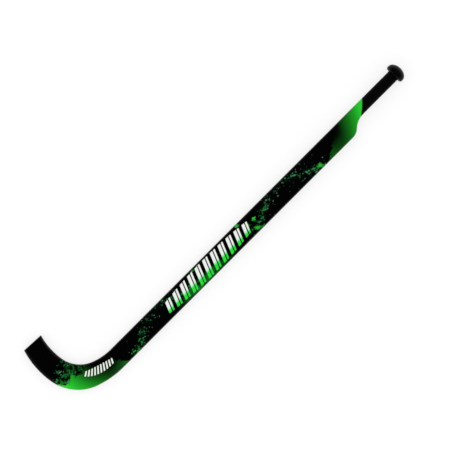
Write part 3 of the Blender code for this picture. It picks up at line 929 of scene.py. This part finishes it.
body = bmesh.new()
bore = (BORE_HALF_WIDTH, BORE_HALF, BORE_ROUND)
outside = (HANDLE_WIDTH / 2, GRIP_HALF, GRIP_ROUND)
straight_x = rake_inner_x + SQUARE_ABOVE_RAKE
seat_x = KNOB_SEAT_X - SLEEVE_SEAM
rings = [add_sleeve_ring(body, bore, 0.0, SLEEVE_SEAM, 0.0)]
for step in range(LIP_STEPS + 1):
    angle = QUARTER_TURN * step / LIP_STEPS
    half = GRIP_LIP_HALF + (GRIP_HALF - GRIP_LIP_HALF) * math.sin(angle)
    radius = EDGE_ROUND + (GRIP_ROUND - EDGE_ROUND) * math.sin(angle)
    offset = SLEEVE_SEAM + GRIP_LIP_ROUND * (1 - math.cos(angle))
    rings.append(add_sleeve_ring(body, (HANDLE_WIDTH / 2, half, radius), 0.0, offset, 0.0))
for step in range(1, WEDGE_STEPS + 1):
    square = step / WEDGE_STEPS
    x = offset + square * (straight_x - offset)
    rings.append(add_sleeve_ring(body, outside, square, x, 0.0))
groove_profile = [(-away, deep) for away, deep in GROOVE_FLANK]
groove_profile += reversed(GROOVE_FLANK[:-1])
for number in range(GROOVE_COUNT):
    groove_x = straight_x + GROOVE_START + number * GROOVE_PITCH
    for away, deep in groove_profile:
        rings.append(add_sleeve_ring(body, outside, 1.0, groove_x + away, deep))
for share in SLEEVE_END_SHARES:
    drop = SLEEVE_END_ROUND * (1 - math.sqrt(1 - share * share))
    section = (HANDLE_WIDTH / 2 - drop, GRIP_HALF - drop, GRIP_ROUND - drop)
    x = seat_x - SLEEVE_END_ROUND * (1 - share)
    rings.append(add_sleeve_ring(body, section, 1.0, x, 0.0))
rings.append(add_sleeve_ring(body, bore, 1.0, seat_x, 0.0))
close_rings(body, rings + rings[:1])
sleeve = add_piece("ribbed_grip_sleeve", body)
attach(sleeve, "root")
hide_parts("grip_sleeve")

# Moulded rubber: dull and almost black. A grain from the mould's blasted wall breaks up the light,
# and the hand has polished it a little in patches. The grain is drawn at three times its real
# 0.15 mm, which would be too fine to see.

RUBBER_BLACK = linear("#020202")
RUBBER_GRAIN_MM = 0.45
RUBBER_GRAIN_DEPTH = 0.00006
HANDLED_PATCH_MM = 14.0
HANDLED = {"From Min": 0.35, "From Max": 0.68}


def make_moulded_rubber(name, worn, polished, dull, sheen):
    """Rubber with patches that were handled. worn is their colour, polished and dull are the
    roughness there and elsewhere, and sheen is how much light the surface throws back."""
    material, tree, shader = start_material(name)
    place = add_stick_place(tree)
    grain = {"Vector": place, "Scale": 1 / RUBBER_GRAIN_MM, "Detail": 3.0}
    grain = add_node(tree, "TexNoise", grain)
    patches = {"Vector": place, "Scale": 1 / HANDLED_PATCH_MM, "Detail": 4.0}
    patches = add_node(tree, "TexNoise", patches)
    handled = add_node(tree, "MapRange", {"Value": patches, **HANDLED})
    colour = {"Factor": handled, "A": RUBBER_BLACK, "B": linear(worn)}
    colour = add_node(tree, "Mix", colour, data_type="RGBA")
    polish = add_node(tree, "MapRange", {"Value": handled, "To Min": dull, "To Max": polished})
    bump = {"Height": grain, "Distance": RUBBER_GRAIN_DEPTH, "Strength": 0.7}
    bump = add_node(tree, "Bump", bump)
    rubber = {
        "Base Color": colour,
        "Roughness": polish,
        "IOR": 1.52,
        "Specular IOR Level": sheen,
        "Normal": bump,
    }
    set_inputs(tree, shader, rubber)
    return material


grip_rubber = make_moulded_rubber(
    "moulded_grip_rubber", worn="#050505", polished=0.50, dull=0.64, sheen=0.11
)
sleeve.data.materials.append(grip_rubber)

# End knob: a mushroom moulded of harder, smoother rubber, pushed over the end of the tang down to
# the sleeve. It has a low crown, a rolled rim and a fine bead where the halves of its mould met.

KNOB_RADIUS = 0.0195
KNOB_RIM_RADIUS = 0.0193
KNOB_RIM_ROUND = 0.0040
KNOB_RIM_DROP = 0.0004
KNOB_SEAT_RADIUS = 0.0127
KNOB_SEAT_SLOPE = (0.0006, 0.0001)
KNOB_BEAD = 0.0001
KNOB_BEAD_PROFILE = ((4, 0), (1.5, 0.9), (0, 1), (-1.5, 0.9), (-4, 0))
KNOB_SOCKET_DEPTH = 0.0120
KNOB_MOUTH_ROUND = 0.0003
KNOB_SIDES = 96
CROWN_STEPS = 20
RIM_STEPS = 8


def socket_reach(turn):
    """How far the tang's socket reaches from the knob's axis, at a turn round it."""
    y = abs(math.cos(turn))
    z = abs(math.sin(turn))
    corner_y = BORE_HALF_WIDTH - BORE_ROUND
    corner_z = BORE_HALF - BORE_ROUND
    if z * BORE_HALF_WIDTH <= corner_z * y:
        return BORE_HALF_WIDTH / y
    if y * BORE_HALF <= corner_y * z:
        return BORE_HALF / z
    middle = y * corner_y + z * corner_z
    return middle + math.sqrt(middle**2 + BORE_ROUND**2 - corner_y**2 - corner_z**2)


crown_height = KNOB_HEIGHT - KNOB_WIDEST_HEIGHT
crown_radius = KNOB_RADIUS - KNOB_BEAD
knob_profile = []
for step in range(1, CROWN_STEPS):
    angle = QUARTER_TURN * step / CROWN_STEPS
    height = KNOB_WIDEST_HEIGHT + crown_height * math.cos(angle)
    knob_profile.append((crown_radius * math.sin(angle), height))
for rise, swell in KNOB_BEAD_PROFILE:
    height = KNOB_WIDEST_HEIGHT + rise * KNOB_BEAD
    knob_profile.append((crown_radius + swell * KNOB_BEAD, height))
rim_height = KNOB_RIM_ROUND - KNOB_RIM_DROP
for step in range(RIM_STEPS + 1):
    angle = QUARTER_TURN * step / RIM_STEPS
    radius = KNOB_RIM_RADIUS - KNOB_RIM_ROUND * (1 - math.cos(angle))
    knob_profile.append((radius, rim_height - KNOB_RIM_ROUND * math.sin(angle)))
slope_out, slope_drop = KNOB_SEAT_SLOPE
knob_profile.append((KNOB_SEAT_RADIUS + slope_out, -slope_drop))
knob_profile.append((KNOB_SEAT_RADIUS, 0.0))

body = bmesh.new()
rings = []
turns = [4 * QUARTER_TURN * side / KNOB_SIDES for side in range(KNOB_SIDES)]
for radius, height in knob_profile:
    rings.append([(height, radius * math.cos(turn), radius * math.sin(turn)) for turn in turns])
for grow, height in ((KNOB_MOUTH_ROUND, 0.0), (0.0, KNOB_MOUTH_ROUND), (0.0, KNOB_SOCKET_DEPTH)):
    ring = []
    for turn in turns:
        reach = grow + socket_reach(turn)
        ring.append((height, reach * math.cos(turn), reach * math.sin(turn)))
    rings.append(ring)
seat = Vector((KNOB_SEAT_X, -HANDLE_WIDTH / 2, 0.0))
rings = [[body.verts.new(seat + Vector(spot)) for spot in reversed(ring)] for ring in rings]
close_rings(body, rings)
for ring, height in ((rings[0], KNOB_HEIGHT), (rings[-1][::-1], KNOB_SOCKET_DEPTH)):
    pole = body.verts.new(seat + Vector((height, 0.0, 0.0)))
    for i in range(KNOB_SIDES):
        body.faces.new((pole, ring[(i + 1) % KNOB_SIDES], ring[i]))
knob = add_piece("mushroom_end_knob", body)
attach(knob, "root")
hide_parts("end_knob")
knob_rubber = make_moulded_rubber(
    "moulded_knob_rubber", worn="#040404", polished=0.24, dull=0.40, sheen=0.08
)
knob.data.materials.append(knob_rubber)

# Floor: a wide sheet of white paper. Part of its white is its own colour under the lamps, which
# keeps the stick's soft shadow, and the rest is seen only by the camera and in reflections.

FLOOR_HALF_SIDE = 18.0
PULP_MM = 2.5
PULP_HEIGHT = 0.00005
PAPER_GLOW = 0.70
WHITE = linear("#FFFFFF")

floor_mesh = bpy.data.meshes.new("paper_floor")
floor_corners = [(-1, -1), (1, -1), (1, 1), (-1, 1)]
floor_corners = [(x * FLOOR_HALF_SIDE, y * FLOOR_HALF_SIDE, 0.0) for x, y in floor_corners]
floor_mesh.from_pydata(floor_corners, [], [(0, 1, 2, 3)])
floor = bpy.data.objects.new("paper_floor", floor_mesh)
bpy.context.scene.collection.objects.link(floor)


def add_seen_directly(tree):
    """1 for rays that show the surface as it is: from the camera, in gloss and through glass."""
    rays = add_node(tree, "LightPath", {}).outputs
    seen = rays["Is Camera Ray"]
    for ray in (rays["Is Glossy Ray"], rays["Is Transmission Ray"]):
        seen = add_node(tree, "Math", {0: seen, 1: ray}, operation="MAXIMUM")
    return seen


paper, tree, shader = start_material("white_paper")
paper_place = add_node(tree, "TexCoord", {}).outputs["Object"]
pulp = add_node(tree, "TexNoise", {"Vector": paper_place, "Scale": 1000 / PULP_MM, "Detail": 3.0})
paper_bump = add_node(tree, "Bump", {"Height": pulp, "Distance": PULP_HEIGHT, "Strength": 0.2})
glow = add_node(tree, "Math", {0: add_seen_directly(tree), 1: PAPER_GLOW}, operation="MULTIPLY")
sheet = {
    "Base Color": linear("#999999"),
    "Roughness": 1.0,
    "Specular IOR Level": 0.0,
    "Normal": paper_bump,
    "Emission Color": WHITE,
    "Emission Strength": glow,
}
set_inputs(tree, shader, sheet)
paper.cycles.emission_sampling = "NONE"
floor.data.materials.append(paper)

# Studio: an even grey room lights the stick from all round, and two large soft lamps, one past each
# end, give its curves a highlight. In reflections the walls are white and the ceiling is dark, so
# that black stays black seen from above.

ROOM_LEVEL = 0.91
CEILING = {"From Min": 0.1, "From Max": 0.3, "To Min": 1.0, "To Max": 0.02}

world = bpy.data.worlds.new("soft_studio")
world.use_nodes = True
bpy.context.scene.world = world
tree = world.node_tree
direction = add_node(tree, "TexCoord", {}).outputs["Generated"]
height = add_node(tree, "SeparateXYZ", {0: direction}).outputs["Z"]
room = add_node(tree, "MapRange", {"Value": height, **CEILING}, interpolation_type="SMOOTHSTEP")
level = {"Factor": add_seen_directly(tree), "A": ROOM_LEVEL, "B": room}
level = add_node(tree, "Mix", level, data_type="FLOAT")
set_inputs(tree, tree.nodes["Background"], {"Color": WHITE, "Strength": level})
world.cycles.sampling_method = "NONE"

LAMP_SIDE = 2.4
LAMP_AWAY = 3.0
LAMP_RISE = math.radians(45)
LAMP_WATTS = 6.5

for end, side in (("heel", -1), ("knob", 1)):
    light = bpy.data.lights.new(f"soft_lamp_{end}_end", "AREA")
    light.shape = "SQUARE"
    light.size = LAMP_SIDE
    light.energy = LAMP_WATTS
    lamp = bpy.data.objects.new(light.name, light)
    spot = LAMP_AWAY * Vector((side * math.cos(LAMP_RISE), 0.0, math.sin(LAMP_RISE)))
    lamp.location = spot
    lamp.rotation_euler = spot.to_track_quat("Z", "Y").to_euler()
    lamp.visible_camera = False
    bpy.context.scene.collection.objects.link(lamp)

# Camera: square to the face of the stick, from far enough away that the thickness hardly shows, and
# turned so that the handle points to the upper right.

CAMERA_DISTANCE = 4.838
CAMERA_TURN = math.radians(-45)
PICTURE_MIDDLE = Vector((0.3252, 0.01085, 0.0))

lens = bpy.data.cameras.new("camera")
lens.lens = 200.0
lens.sensor_width = 36.0
lens.clip_end = 100.0
camera = bpy.data.objects.new("camera", lens)
above_middle = Matrix.Translation(PICTURE_MIDDLE + Vector((0.0, 0.0, CAMERA_DISTANCE)))
camera.matrix_world = lying @ above_middle @ Matrix.Rotation(CAMERA_TURN, 4, "Z")
bpy.context.scene.collection.objects.link(camera)
bpy.context.scene.camera = camera
bpy.context.scene.view_settings.view_transform = "Standard"

bpy.context.view_layer.update()
